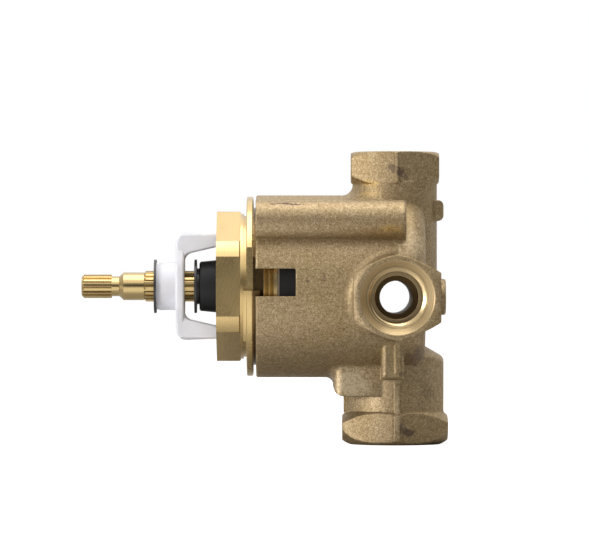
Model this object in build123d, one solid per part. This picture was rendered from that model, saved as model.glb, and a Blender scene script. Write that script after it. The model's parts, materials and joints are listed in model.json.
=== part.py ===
from build123d import *
import math
import os

# Shower transfer valve. Millimetres, +Z up, the stem along -X.
# Origin: centre of the bottom port's mouth, on the axis shared by the bottom and top ports.

# Axes of the casting
STEM_AXIS_Z = 59.4
SIDE_AXIS_Z = 55.4
SIDE_MOUTH_Y = 48.0

# Barrel of the casting
BARREL_FRONT_X = -52.2
BARREL_REAR_X = 11.0
BARREL_RADIUS = 34.3
BARREL_FRONT_EDGE = 0.6
BARREL_REAR_ROUND = 7.0
CHAMBER_WALL = 4.6
SEAT_DEPTH = 17.2
SEAT_WIDTH = 5.5
END_WALL = 14.0

# Window in the near wall, open at the front
WINDOW_DEPTH = 14.9
WINDOW_LOW = -3.6
WINDOW_HIGH = 6.7
WINDOW_CORNER = 0.6

# Half-inch ports: top, left and right
PORT_BORE_RADIUS = 10.6
PORT_THREAD_LENGTH = 14.0
PORT_RELIEF_RADIUS = 11.4
PORT_RELIEF_DEPTH = 3.4
PORT_COUNTERSINK = 2.4
PORT_FLAT = 16.5
PORT_FLAT_HALF_LENGTH = 9.3
PORT_RIDGE = 16.2
SIDE_PORT_SHRINK = 0.4
TOP_NECK_LENGTH = 4.1
PORT_COLLAR_LENGTH = 12.2
PORT_NECK_RADIUS = 15.9
PORT_MOUTH_RING = 15.2
PORT_MOUTH_FALL = 2.4
PORT_FOOT_FALL = 3.0
PORT_RIDGE_LAND = 0.5
TOP_MOUTH_Z = STEM_AXIS_Z + BARREL_RADIUS + TOP_NECK_LENGTH + PORT_COLLAR_LENGTH

# Three-quarter-inch port: bottom
INLET_BORE_RADIUS = 13.2
INLET_THREAD_LENGTH = 15.0
INLET_COUNTERSINK = 0.5
INLET_FLAT = 19.8
INLET_FLAT_HALF_LENGTH = 11.2
INLET_RIDGE = 19.4
INLET_COLLAR_LENGTH = 12.4
INLET_NECK_RADIUS = 18.3
INLET_MOUTH_RING = 17.0
INLET_MOUTH_FALL = 5.8
INLET_FOOT_FALL = 4.2
INLET_RIDGE_LAND = 1.2
INLET_NECK_TOP_Z = 38.0
INLET_NECK_TOP_RADIUS = 9.5
INLET_NECK_FALL = 5.3
INLET_NECK_ROUND = 4.0

# Form of all collars and necks
COLLAR_BOW = 0.7
MOUTH_BOW = 0.12
NECK_FLAT_SHARE = 0.25
NECK_BOW_SHARE = 0.15
NECK_BLEND = 4.0
NECK_OVERLAP = 1.0

# Waterways
CROSS_RADIUS = 6.15
STEP_RADIUS = 8.1
STEP_LENGTH = 8.0
TOP_WAY_RADIUS = 7.0
INLET_WAY_RADIUS = 8.5
OUTLET_RADIUS = 3.4
CENTRE_WAY_RADIUS = 4.2
WAY_OVERRUN = 2.0

# Shoulder between barrel and bottom port
SHOULDER_FRONT_X = -23.2
SHOULDER_HALF_WIDTH = 17.3
SHOULDER_DROP = 6.7
SHOULDER_LOW_Z = STEM_AXIS_Z - BARREL_RADIUS - SHOULDER_DROP
SHOULDER_ROUND = 3.6
SHOULDER_BLEND = 3.0
NECK_PAD_HALF_WIDTH = 4.0
NECK_PAD_LOW_Z = 12.0
NECK_PAD_PROUD = 1.0

# Bars for the trim screws, one on each upper side
BAR_RADIUS = 7.4
BAR_OUT = 28.0
BAR_UP = 24.7
BAR_END_X = 3.6
BAR_END_ROUND = 0.9
SCREW_HOLE_RADIUS = 2.1
SCREW_HOLE_DEPTH = 16.0

# Lugs of the casting
REAR_LUG_REACH = 18.3
REAR_LUG_HALF_WIDTH = 6.0
REAR_LUG_LOW_Z = 84.0
REAR_LUG_HIGH_Z = 91.8
REAR_LUG_ROUND = 2.2
REAR_LUG_FOOT = 3.2
REAR_BOSS_REACH = 19.2
REAR_BOSS_RADIUS = 6.8
REAR_BOSS_EDGE = 0.8
RIB_FRONT_X = -5.6
RIB_REAR_X = 2.9
RIB_OUT = 26.5
RIB_LOW_Z = 24.7
RIB_HIGH_Z = 42.0
RIB_ROUND = 2.2

# Bead where the mould parted
BEAD_X = 0.6
BEAD_HALF_WIDTH = 1.2
BEAD_PROUD = 0.4
THIN_BEAD_HALF_WIDTH = 0.5
THIN_BEAD_PROUD = 0.3

# Retaining ring: flange, spanner notch and threaded skirt
FLANGE_GAP = 1.1
FLANGE_THICKNESS = 2.4
FLANGE_INSET = 0.5
FLANGE_EDGE = 0.3
SKIRT_DEPTH = 8.0
SKIRT_WALL = 3.0
THREAD_PITCH = 1.9
THREAD_DEPTH = 0.9
THREAD_GROOVE_SHARE = 0.85
THREAD_CLEARANCE = 0.05
NOTCH_LOW = -1.5
NOTCH_HIGH = 14.6
NOTCH_FLOOR_PROUD = 0.35
NOTCH_INTO_SKIRT = 2.7
PAD_GAP = 0.1
PAD_FLOOR = 24.0

# Bonnet nut: hexagon, shoulder and threaded body
HEX_LENGTH = 9.0
HEX_FLAT = 25.9
HEX_CORNER_RADIUS = 28.2
HEX_CHAMFER = 0.4
SHOULDER_LENGTH = 2.3
SHOULDER_DISC_LENGTH = 1.1
SHOULDER_DISC_PROUD = 0.75
NUT_BODY_DEPTH = 6.0
NUT_WALL = 5.4
NUT_FLOOR = 4.0

# Bushing round the stem
BUSHING_PROUD = 6.6
BUSHING_RADIUS = 9.25
BUSHING_ROOT_RADIUS = 9.9
BUSHING_FLANGE_RADIUS = 16.0
BUSHING_FLANGE = 3.8
BUSHING_EDGE = 0.8
BUSHING_CLEARANCE = 0.1

# Cartridge
WASHER_THICKNESS = 0.8
WASHER_RADIAL = 2.6
HOUSING_FRONT_WALL = 3.0
HOUSING_WALL = 3.0
HOUSING_CLEARANCE = 0.2
HOUSING_HOLE_RADIUS = 9.2
HOUSING_SETBACK = 0.4
CARRIER_THICKNESS = 7.0
CARRIER_GAP = 0.3
CARRIER_CLEARANCE = 0.3
DISC_INSET = 0.8
DISC_THICKNESS = 4.5
DISC_SEAL_THICKNESS = 1.0
DOG_LENGTH = 1.8
DOG_WIDTH = 5.0
DOG_REACH = 3.0
DOG_CLEARANCE = 0.1
SEAL_SECTION = 0.9
HOUSING_SEAL_SECTION = 1.0
PIN_RADIUS = 1.5
PIN_LENGTH = 6.0

# Stem
STEM_TIP_X = -118.0
TIP_SPLINE_LENGTH = 11.3
TIP_SPLINE_RADIUS = 4.45
TIP_SPLINE_TEETH = 16
TIP_CHAMFER = 0.9
GROOVE_LENGTH = 2.8
GROOVE_RADIUS = 3.75
CONE_LENGTH = 1.7
SHANK_LENGTH = 7.6
SHANK_RADIUS = 5.25
HUB_SPLINE_RADIUS = 5.8
HUB_SPLINE_TEETH = 19
HUB_SPLINE_CHAMFER = 0.9
TOOTH_DEPTH = 0.75
JOURNAL_RADIUS = 5.75
JOURNAL_CLEARANCE = 0.05
HEAD_RADIUS = 8.2
HEAD_THICKNESS = 3.0
TANG_LENGTH = 5.0
TANG_HALF_WIDTH = 6.2
TANG_HALF_THICKNESS = 2.2
TANG_CLEARANCE = 0.1
STEM_SEAL_SECTION = 0.85
STEM_SEAL_SQUEEZE = 0.02
STEM_SEAL_PLACES = (6.5, 13.5)

# Clips and collar on the stem
CLIP_THICKNESS = 0.9
CLIP_RADIUS = 10.1
CLIP_GROOVE_RADIUS = 4.8
CLIP_SLOT = 3.0
CLIP_CLEARANCE = 0.05
COLLAR_THICKNESS = 0.9
COLLAR_RADIUS = 6.8
COLLAR_GAP = 0.1

# Yoke
YOKE_HUB_LENGTH = 7.4
YOKE_HUB_RADIUS = 9.0
YOKE_HUB_STEP = 0.3
YOKE_HUB_STEP_LENGTH = 0.9
YOKE_PLATE = 3.1
YOKE_TO_CLIP = 3.8
YOKE_HALF_WIDTH = 7.0
YOKE_CLEARANCE = 0.8
YOKE_TIP_TAPER = 0.7
YOKE_TIP_THICKNESS = 4.8
YOKE_INNER_FALL = 2.9
YOKE_CORNER = 4.0
YOKE_INNER_CORNER = 3.5
YOKE_EDGE = 0.9
YOKE_TIP_GAP = 1.0
SPLINE_FIT = 0.06

# Worked out from the values above
FLANGE_BACK_X = BARREL_FRONT_X - FLANGE_GAP
FLANGE_FRONT_X = FLANGE_BACK_X - FLANGE_THICKNESS
PAD_FRONT_X = FLANGE_FRONT_X - SHOULDER_LENGTH + SHOULDER_DISC_LENGTH + PAD_GAP
HEX_BACK_X = FLANGE_FRONT_X - SHOULDER_LENGTH
HEX_FRONT_X = HEX_BACK_X - HEX_LENGTH
SEAT_X = BARREL_FRONT_X + SEAT_DEPTH
CHAMBER_RADIUS = BARREL_RADIUS - CHAMBER_WALL
INNER_CHAMBER_RADIUS = CHAMBER_RADIUS - SEAT_WIDTH
PIN_PLACE_RADIUS = CHAMBER_RADIUS - SEAT_WIDTH / 2
FLANGE_RADIUS = BARREL_RADIUS - FLANGE_INSET
SKIRT_RADIUS = CHAMBER_RADIUS - THREAD_CLEARANCE
NOTCH_FLOOR = SKIRT_RADIUS + NOTCH_FLOOR_PROUD
NUT_BODY_RADIUS = SKIRT_RADIUS - SKIRT_WALL - THREAD_CLEARANCE
NUT_BORE_RADIUS = NUT_BODY_RADIUS - NUT_WALL
YOKE_OUTER = NUT_BORE_RADIUS - YOKE_CLEARANCE
YOKE_TIP_OUTER = YOKE_OUTER - YOKE_TIP_TAPER
YOKE_TIP_INNER = YOKE_TIP_OUTER - YOKE_TIP_THICKNESS
YOKE_ROOT_INNER = YOKE_TIP_INNER - YOKE_INNER_FALL
SKIRT_END_X = BARREL_FRONT_X + SKIRT_DEPTH
HOUSING_FRONT_X = SKIRT_END_X + WASHER_THICKNESS
FLOOR_X = -END_WALL
NUT_BACK_X = HOUSING_FRONT_X - BUSHING_FLANGE
NUT_FLOOR_X = NUT_BACK_X - NUT_FLOOR
BUSHING_FRONT_X = HEX_FRONT_X - BUSHING_PROUD
INNER_CLIP_X = BUSHING_FRONT_X - COLLAR_GAP - COLLAR_THICKNESS - CLIP_THICKNESS
YOKE_BACK_X = INNER_CLIP_X - YOKE_TO_CLIP
YOKE_PLATE_X = YOKE_BACK_X - YOKE_PLATE
YOKE_FRONT_X = YOKE_PLATE_X - YOKE_HUB_LENGTH
OUTER_CLIP_X = YOKE_FRONT_X - CLIP_THICKNESS
GROOVE_X = STEM_TIP_X + TIP_SPLINE_LENGTH
CONE_X = GROOVE_X + GROOVE_LENGTH
SHANK_X = CONE_X + CONE_LENGTH
HUB_SPLINE_X = SHANK_X + SHANK_LENGTH
HEAD_X = HOUSING_FRONT_X + CARRIER_GAP
TANG_X = HEAD_X + HEAD_THICKNESS
HOUSING_INNER_RADIUS = INNER_CHAMBER_RADIUS - HOUSING_CLEARANCE - HOUSING_WALL
CARRIER_X = HOUSING_FRONT_X + HOUSING_FRONT_WALL + CARRIER_GAP
MOVING_DISC_X = CARRIER_X + CARRIER_THICKNESS
FIXED_DISC_X = MOVING_DISC_X + DISC_THICKNESS
DISC_SEAL_X = FIXED_DISC_X + DISC_THICKNESS
BASE_X = DISC_SEAL_X + DISC_SEAL_THICKNESS
BASE_BACK_X = FLOOR_X - HOUSING_SETBACK
BASE_RADIUS = HOUSING_INNER_RADIUS - HOUSING_CLEARANCE
DISC_RADIUS = BASE_RADIUS - DISC_INSET
OUTLET_OFFSET = BASE_RADIUS - OUTLET_RADIUS - SEAL_SECTION * 2 - HOUSING_CLEARANCE
TOP_OUTLET_Z = STEM_AXIS_Z + OUTLET_OFFSET
LOW_OUTLET_Z = STEM_AXIS_Z - OUTLET_OFFSET


def turned(outline):
    """Revolve a closed outline of (x, radius) points about the stem's axis."""
    corners = [(x, 0, STEM_AXIS_Z + radius) for x, radius in outline]
    face = make_face(Polyline(*corners, close=True).edges())
    return revolve(face, axis=Axis((0, 0, STEM_AXIS_Z), (1, 0, 0)))


def rod_x(radius, x_from, x_to, y=0, z=STEM_AXIS_Z):
    """A round rod along X."""
    middle = (x_from + x_to) / 2
    return Pos(middle, y, z) * Rot(0, 90, 0) * Cylinder(radius, x_to - x_from)


def rod_z(radius, z_from, z_to):
    """A round rod on the axis of the top and bottom ports."""
    return Pos(0, 0, (z_from + z_to) / 2) * Cylinder(radius, z_to - z_from)


def rod_y(radius, y_from, y_to):
    """A round rod on the axis of the side ports."""
    middle = (y_from + y_to) / 2
    return Pos(0, middle, SIDE_AXIS_Z) * Rot(90, 0, 0) * Cylinder(radius, y_to - y_from)


def block(x_from, x_to, y_from, y_to, z_from, z_to):
    """A box given by its limits."""
    centre = Pos((x_from + x_to) / 2, (y_from + y_to) / 2, (z_from + z_to) / 2)
    return centre * Box(x_to - x_from, y_to - y_from, z_to - z_from)


def along_x(section, x_from, x_to):
    """Extrude a section drawn round the origin along the stem's axis."""
    return Pos(x_from, 0, STEM_AXIS_Z) * Rot(0, 90, 0) * extrude(section, amount=x_to - x_from)


def turned_z(edges):
    """Revolve a closed outline of edges drawn as (radius, height) about the Z axis."""
    return revolve(Plane.XZ * make_face(edges), axis=Axis.Z)


def bowed_section(flat, half_length, ridge, land, bow):
    """Two flats across X and four bowed sides that meet in a ridge on each side of Y."""
    edges = []
    for side in (1, -1):
        for end in (1, -1):
            corner = Vector(side * flat, end * half_length)
            crest = Vector(side * land, end * ridge)
            middle = (corner + crest) / 2
            outward = Vector(end * side * (crest - corner).Y, end * side * (corner - crest).X).normalized()
            edges.append(ThreePointArc(corner, middle + outward * bow, crest))
        edges.append(Line((side * flat, -half_length), (side * flat, half_length)))
    for end in (1, -1):
        edges.append(Line((-land, end * ridge), (land, end * ridge)))
    return make_face(edges)


def beaded(section, ridge, half_width, proud):
    """The section with the mould's bead on both of its ridges."""
    return section + Pos(BEAD_X, 0) * Rectangle(half_width * 2, (ridge + proud) * 2)


def port_collar(section, corner, length, foot, foot_fall, mouth, mouth_fall):
    """A collar that stands on the XY plane, mouth up, its corners turned to a cone at both ends."""
    outer = (corner, length - mouth_fall)
    inner = (mouth, length)
    bow = MOUTH_BOW * mouth_fall
    middle = ((outer[0] + inner[0]) / 2 + bow, (outer[1] + inner[1]) / 2 + bow)
    envelope = turned_z([
        Line((0, 0), (foot, 0)),
        Line((foot, 0), (corner, foot_fall)),
        Line((corner, foot_fall), outer),
        ThreePointArc(outer, middle, inner),
        Line(inner, (0, length)),
        Line((0, length), (0, 0)),
    ])
    return extrude(section, amount=length) & envelope


def half_inch_collar(shrink):
    """The collar of a half-inch port, its section smaller by the shrink."""
    flat = PORT_FLAT - shrink
    half_length = PORT_FLAT_HALF_LENGTH - shrink / 2
    ridge = PORT_RIDGE - shrink
    section = bowed_section(flat, half_length, ridge, PORT_RIDGE_LAND, COLLAR_BOW)
    section = beaded(section, ridge, THIN_BEAD_HALF_WIDTH, THIN_BEAD_PROUD)
    return port_collar(section, math.hypot(flat, half_length), PORT_COLLAR_LENGTH,
                       PORT_NECK_RADIUS - shrink, PORT_FOOT_FALL, PORT_MOUTH_RING, PORT_MOUTH_FALL)


def inlet_collar():
    """The collar of the three-quarter-inch port."""
    section = bowed_section(INLET_FLAT, INLET_FLAT_HALF_LENGTH, INLET_RIDGE, INLET_RIDGE_LAND, COLLAR_BOW)
    section = beaded(section, INLET_RIDGE, BEAD_HALF_WIDTH, BEAD_PROUD)
    return port_collar(section, math.hypot(INLET_FLAT, INLET_FLAT_HALF_LENGTH), INLET_COLLAR_LENGTH,
                       INLET_NECK_RADIUS, INLET_FOOT_FALL, INLET_MOUTH_RING, INLET_MOUTH_FALL)


def inlet_neck():
    """The neck over the bottom collar: a soft ridge on each side, a sloped and rounded top."""
    radius = INLET_NECK_RADIUS
    section = bowed_section(radius, radius * NECK_FLAT_SHARE, radius, INLET_RIDGE_LAND, radius * NECK_BOW_SHARE)
    section = beaded(section, radius, BEAD_HALF_WIDTH, BEAD_PROUD)
    foot_z = INLET_COLLAR_LENGTH - NECK_OVERLAP
    outer = radius + BEAD_PROUD
    envelope = turned_z(Polyline(
        (0, foot_z),
        (outer, foot_z),
        (outer, INLET_NECK_TOP_Z - INLET_NECK_FALL),
        (INLET_NECK_TOP_RADIUS, INLET_NECK_TOP_Z),
        (0, INLET_NECK_TOP_Z),
        close=True,
    ).edges())
    shoulder_edge = envelope.edges().filter_by(GeomType.CIRCLE).sort_by(Axis.Z)[1]
    envelope = fillet(shoulder_edge, INLET_NECK_ROUND)
    return (Pos(0, 0, foot_z) * extrude(section, amount=INLET_NECK_TOP_Z - foot_z)) & envelope


def mouth_cut(radius, length, countersink):
    """A bore with its countersink, mouth at the origin, going down."""
    bore = Pos(0, 0, -length / 2) * Cylinder(radius, length)
    cone = Pos(0, 0, -countersink / 2) * Cone(radius, radius + countersink, countersink)
    return bore + cone


def half_inch_bore():
    """The threaded bore of a half-inch port with its relief and countersink."""
    bore = Pos(0, 0, -PORT_THREAD_LENGTH / 2) * Cylinder(PORT_BORE_RADIUS, PORT_THREAD_LENGTH)
    return bore + mouth_cut(PORT_RELIEF_RADIUS, PORT_RELIEF_DEPTH, PORT_COUNTERSINK)


def on_barrel(edge):
    """Whether an edge lies on the barrel's round surface."""
    points = edge.positions([0.2, 0.5, 0.8])
    return all(abs(math.hypot(point.Y, point.Z - STEM_AXIS_Z) - BARREL_RADIUS) < 0.001 for point in points)


def front_half(casting, reach):
    """The part of a blend from the reach in front of the ports' axis to that axis."""
    side = SIDE_MOUTH_Y - NECK_OVERLAP
    return casting & block(-reach, 0, -side, side, 0, TOP_MOUTH_Z)


def cast_neck(neck):
    """The front half of a half-inch port's neck with its cast fillet to the barrel."""
    casting = rod_x(BARREL_RADIUS, BARREL_FRONT_X, -BARREL_FRONT_X) + neck
    joints = [edge for edge in casting.edges().filter_by(GeomType.BSPLINE) if on_barrel(edge)]
    return front_half(fillet(joints, NECK_BLEND), PORT_NECK_RADIUS + NECK_BLEND + 1)


def cast_shoulder():
    """The step under the barrel in front of the bottom neck, with its cast fillet to the barrel."""
    casting = rod_x(BARREL_RADIUS, BARREL_FRONT_X, -BARREL_FRONT_X)
    shoulder = block(SHOULDER_FRONT_X, -BARREL_FRONT_X * 2, -SHOULDER_HALF_WIDTH, SHOULDER_HALF_WIDTH,
                     SHOULDER_LOW_Z, STEM_AXIS_Z)
    front = shoulder.faces().sort_by(Axis.X)[0].edges().sort_by(Axis.Z)[:-1]
    casting += fillet(front, SHOULDER_ROUND)
    near = casting.edges().filter_by_position(Axis.X, SHOULDER_FRONT_X - 1, -BARREL_FRONT_X / 2)
    joints = [edge for edge in near if on_barrel(edge)]
    return front_half(fillet(joints, SHOULDER_BLEND), -SHOULDER_FRONT_X + SHOULDER_BLEND * 3)


def make_valve_body():
    """The casting with its machined bores."""
    barrel = turned([
        (BARREL_FRONT_X, 0),
        (BARREL_FRONT_X, BARREL_RADIUS),
        (BARREL_REAR_X, BARREL_RADIUS),
        (BARREL_REAR_X, 0),
    ])
    rear_edge = barrel.edges().filter_by(GeomType.CIRCLE).sort_by(Axis.X)[-1]
    barrel = fillet(rear_edge, BARREL_REAR_ROUND)
    front_edge = barrel.edges().filter_by(GeomType.CIRCLE).sort_by(Axis.X)[0]
    body = fillet(front_edge, BARREL_FRONT_EDGE) + cast_shoulder()

    collar_foot_z = TOP_MOUTH_Z - PORT_COLLAR_LENGTH
    top_neck = rod_z(PORT_NECK_RADIUS, STEM_AXIS_Z, collar_foot_z + NECK_OVERLAP)
    body += cast_neck(top_neck) + top_neck
    body += Pos(0, 0, collar_foot_z) * half_inch_collar(0)
    side_foot_y = SIDE_MOUTH_Y - PORT_COLLAR_LENGTH
    side_neck = rod_y(PORT_NECK_RADIUS - SIDE_PORT_SHRINK, 0, side_foot_y + NECK_OVERLAP + NECK_BLEND)
    side_blend = cast_neck(side_neck) + side_neck
    body += side_blend + mirror(side_blend, about=Plane.XZ)
    side_collar = half_inch_collar(SIDE_PORT_SHRINK)
    for side in (-1, 1):
        body += Pos(0, side * side_foot_y, SIDE_AXIS_Z) * Rot(-90 * side, 0, 0) * side_collar
    body += Pos(0, 0, INLET_COLLAR_LENGTH) * Rot(180, 0, 0) * inlet_collar()
    body += inlet_neck()
    body += block(-INLET_NECK_RADIUS - NECK_PAD_PROUD, 0, -NECK_PAD_HALF_WIDTH, NECK_PAD_HALF_WIDTH,
                  NECK_PAD_LOW_Z, SHOULDER_LOW_Z)

    for side in (-1, 1):
        bar = rod_x(BAR_RADIUS, BARREL_FRONT_X, BAR_END_X, side * BAR_OUT, STEM_AXIS_Z + BAR_UP)
        bar = fillet(bar.edges().filter_by(GeomType.CIRCLE).sort_by(Axis.X)[-1], BAR_END_ROUND)
        body += bar
        rib = block(RIB_FRONT_X, RIB_REAR_X, min(side * RIB_OUT, 0), max(side * RIB_OUT, 0),
                    RIB_LOW_Z, RIB_HIGH_Z)
        body += fillet(rib.faces().sort_by(Axis.Y)[0 if side < 0 else -1].edges(), RIB_ROUND)
        bead_out = side * (RIB_OUT + BEAD_PROUD)
        body += block(BEAD_X - BEAD_HALF_WIDTH, BEAD_X + BEAD_HALF_WIDTH, min(bead_out, 0), max(bead_out, 0),
                      RIB_LOW_Z + RIB_ROUND, RIB_HIGH_Z)
    lug = block(0, REAR_LUG_REACH, -REAR_LUG_HALF_WIDTH, REAR_LUG_HALF_WIDTH, REAR_LUG_LOW_Z, REAR_LUG_HIGH_Z)
    body += fillet(lug.faces().sort_by(Axis.X)[-1].edges(), REAR_LUG_ROUND)
    foot = block(0, BARREL_REAR_X + REAR_LUG_FOOT, -REAR_LUG_HALF_WIDTH, REAR_LUG_HALF_WIDTH,
                 REAR_LUG_LOW_Z - REAR_LUG_FOOT, REAR_LUG_LOW_Z + REAR_LUG_ROUND)
    hollow = Rot(90, 0, 0) * Cylinder(REAR_LUG_FOOT, REAR_LUG_HALF_WIDTH * 2)
    body += foot - Pos(BARREL_REAR_X + REAR_LUG_FOOT, 0, REAR_LUG_LOW_Z - REAR_LUG_FOOT) * hollow
    boss = rod_x(REAR_BOSS_RADIUS, 0, REAR_BOSS_REACH, 0, SIDE_AXIS_Z)
    body += fillet(boss.edges().filter_by(GeomType.CIRCLE).sort_by(Axis.X)[-1], REAR_BOSS_EDGE)

    body -= rod_x(CHAMBER_RADIUS, BARREL_FRONT_X, SEAT_X)
    body -= rod_x(INNER_CHAMBER_RADIUS, SEAT_X, FLOOR_X)
    window = block(BARREL_FRONT_X - 1, BARREL_FRONT_X + WINDOW_DEPTH, -BARREL_RADIUS - 1, -BARREL_RADIUS / 2,
                   STEM_AXIS_Z + WINDOW_LOW, STEM_AXIS_Z + WINDOW_HIGH)
    inner_corners = window.edges().filter_by(Axis.Y).group_by(Axis.X)[-1]
    body -= fillet(inner_corners, WINDOW_CORNER)
    body -= Pos(0, 0, TOP_MOUTH_Z) * half_inch_bore()
    body -= Rot(180, 0, 0) * mouth_cut(INLET_BORE_RADIUS, INLET_THREAD_LENGTH, INLET_COUNTERSINK)
    for side in (-1, 1):
        body -= Pos(0, side * SIDE_MOUTH_Y, SIDE_AXIS_Z) * Rot(-90 * side, 0, 0) * half_inch_bore()
    step_y = SIDE_MOUTH_Y - PORT_THREAD_LENGTH
    body -= rod_y(CROSS_RADIUS, -step_y, step_y)
    body -= rod_y(STEP_RADIUS, -step_y, -step_y + STEP_LENGTH)
    body -= rod_y(STEP_RADIUS, step_y - STEP_LENGTH, step_y)
    body -= rod_z(TOP_WAY_RADIUS, TOP_OUTLET_Z - WAY_OVERRUN, TOP_MOUTH_Z - PORT_THREAD_LENGTH)
    body -= rod_z(INLET_WAY_RADIUS, INLET_THREAD_LENGTH, LOW_OUTLET_Z + WAY_OVERRUN)
    body -= rod_x(OUTLET_RADIUS, FLOOR_X, 0, 0, TOP_OUTLET_Z)
    body -= rod_x(OUTLET_RADIUS, FLOOR_X, 0, 0, LOW_OUTLET_Z)
    body -= rod_x(CENTRE_WAY_RADIUS, FLOOR_X, 0)
    for side in (-1, 1):
        body -= rod_x(SCREW_HOLE_RADIUS, BARREL_FRONT_X, BARREL_FRONT_X + SCREW_HOLE_DEPTH,
                      side * BAR_OUT, STEM_AXIS_Z + BAR_UP)
    body -= rod_x(PIN_RADIUS, SEAT_X, SEAT_X + PIN_LENGTH / 2, 0, STEM_AXIS_Z + PIN_PLACE_RADIUS)
    return body


def make_retaining_ring():
    """Flange with its spanner notch and pad, and the skirt with the thread drawn as closed rings."""
    inner = NUT_BODY_RADIUS + THREAD_CLEARANCE
    outline = [
        (FLANGE_FRONT_X, inner),
        (FLANGE_FRONT_X, FLANGE_RADIUS - FLANGE_EDGE),
        (FLANGE_FRONT_X + FLANGE_EDGE, FLANGE_RADIUS),
        (FLANGE_BACK_X - FLANGE_EDGE, FLANGE_RADIUS),
        (FLANGE_BACK_X, FLANGE_RADIUS - FLANGE_EDGE),
        (FLANGE_BACK_X, SKIRT_RADIUS),
    ]
    first_root = BARREL_FRONT_X + NOTCH_INTO_SKIRT / 2
    turns = int((SKIRT_END_X - first_root) / THREAD_PITCH)
    for turn in range(turns):
        start = first_root + turn * THREAD_PITCH
        outline.append((start, SKIRT_RADIUS))
        outline.append((start + THREAD_PITCH / 2, SKIRT_RADIUS - THREAD_DEPTH))
        outline.append((start + THREAD_PITCH * THREAD_GROOVE_SHARE, SKIRT_RADIUS))
    outline.append((SKIRT_END_X, SKIRT_RADIUS))
    outline.append((SKIRT_END_X, inner))
    ring = turned(outline)
    pad = turned([
        (PAD_FRONT_X, inner),
        (PAD_FRONT_X, FLANGE_RADIUS - FLANGE_EDGE),
        (FLANGE_FRONT_X, FLANGE_RADIUS - FLANGE_EDGE),
        (FLANGE_FRONT_X, inner),
    ])
    reach = FLANGE_RADIUS + 1
    pad &= block(PAD_FRONT_X, FLANGE_FRONT_X, -reach, -NUT_BODY_RADIUS,
                 STEM_AXIS_Z - PAD_FLOOR, STEM_AXIS_Z + NOTCH_LOW)
    ring += pad
    notch = block(PAD_FRONT_X - 1, BARREL_FRONT_X + NOTCH_INTO_SKIRT, -reach, -NOTCH_FLOOR,
                  STEM_AXIS_Z + NOTCH_LOW, STEM_AXIS_Z + NOTCH_HIGH)
    notch += block(FLANGE_BACK_X, BARREL_FRONT_X + NOTCH_INTO_SKIRT, -reach, -NUT_BODY_RADIUS - THREAD_DEPTH,
                   STEM_AXIS_Z + NOTCH_LOW, STEM_AXIS_Z + NOTCH_HIGH)
    return ring - notch


def make_bonnet_nut():
    """Hexagon with turned corners, shoulder, threaded body and floor."""
    hexagon = along_x(RegularPolygon(HEX_FLAT, 6, major_radius=False), HEX_FRONT_X, HEX_BACK_X)
    envelope = turned([
        (HEX_FRONT_X, 0),
        (HEX_FRONT_X, HEX_CORNER_RADIUS),
        (HEX_BACK_X - HEX_CHAMFER, HEX_CORNER_RADIUS),
        (HEX_BACK_X, HEX_CORNER_RADIUS - HEX_CHAMFER),
        (HEX_BACK_X, 0),
    ])
    nut = (hexagon & envelope) + rod_x(NUT_BODY_RADIUS, HEX_BACK_X, FLANGE_FRONT_X + NUT_BODY_DEPTH)
    nut += rod_x(NUT_BODY_RADIUS + SHOULDER_DISC_PROUD, HEX_BACK_X, HEX_BACK_X + SHOULDER_DISC_LENGTH)
    nut += rod_x(BUSHING_FLANGE_RADIUS, FLANGE_FRONT_X, NUT_BACK_X)
    nut -= rod_x(NUT_BORE_RADIUS, HEX_FRONT_X, NUT_FLOOR_X)
    nut -= rod_x(BUSHING_ROOT_RADIUS + BUSHING_CLEARANCE, NUT_FLOOR_X, NUT_BACK_X)
    return nut


def make_stem_bushing():
    """Black guide with a flange that the nut's floor holds down."""
    bore = JOURNAL_RADIUS + JOURNAL_CLEARANCE
    bushing = turned([
        (BUSHING_FRONT_X, bore),
        (BUSHING_FRONT_X, BUSHING_RADIUS),
        (HEX_FRONT_X, BUSHING_ROOT_RADIUS),
        (NUT_BACK_X, BUSHING_ROOT_RADIUS),
        (NUT_BACK_X, BUSHING_FLANGE_RADIUS),
        (HOUSING_FRONT_X, BUSHING_FLANGE_RADIUS),
        (HOUSING_FRONT_X, bore),
    ])
    front_edges = bushing.edges().filter_by(GeomType.CIRCLE).group_by(Axis.X)[0]
    return fillet(front_edges.sort_by(SortBy.RADIUS)[-1], BUSHING_EDGE)


def make_slip_washer():
    """Plastic ring between the skirt's end and the housing."""
    outer = SKIRT_RADIUS - HOUSING_CLEARANCE
    return turned([
        (SKIRT_END_X, outer - WASHER_RADIAL),
        (SKIRT_END_X, outer),
        (HOUSING_FRONT_X, outer),
        (HOUSING_FRONT_X, outer - WASHER_RADIAL),
    ])


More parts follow.
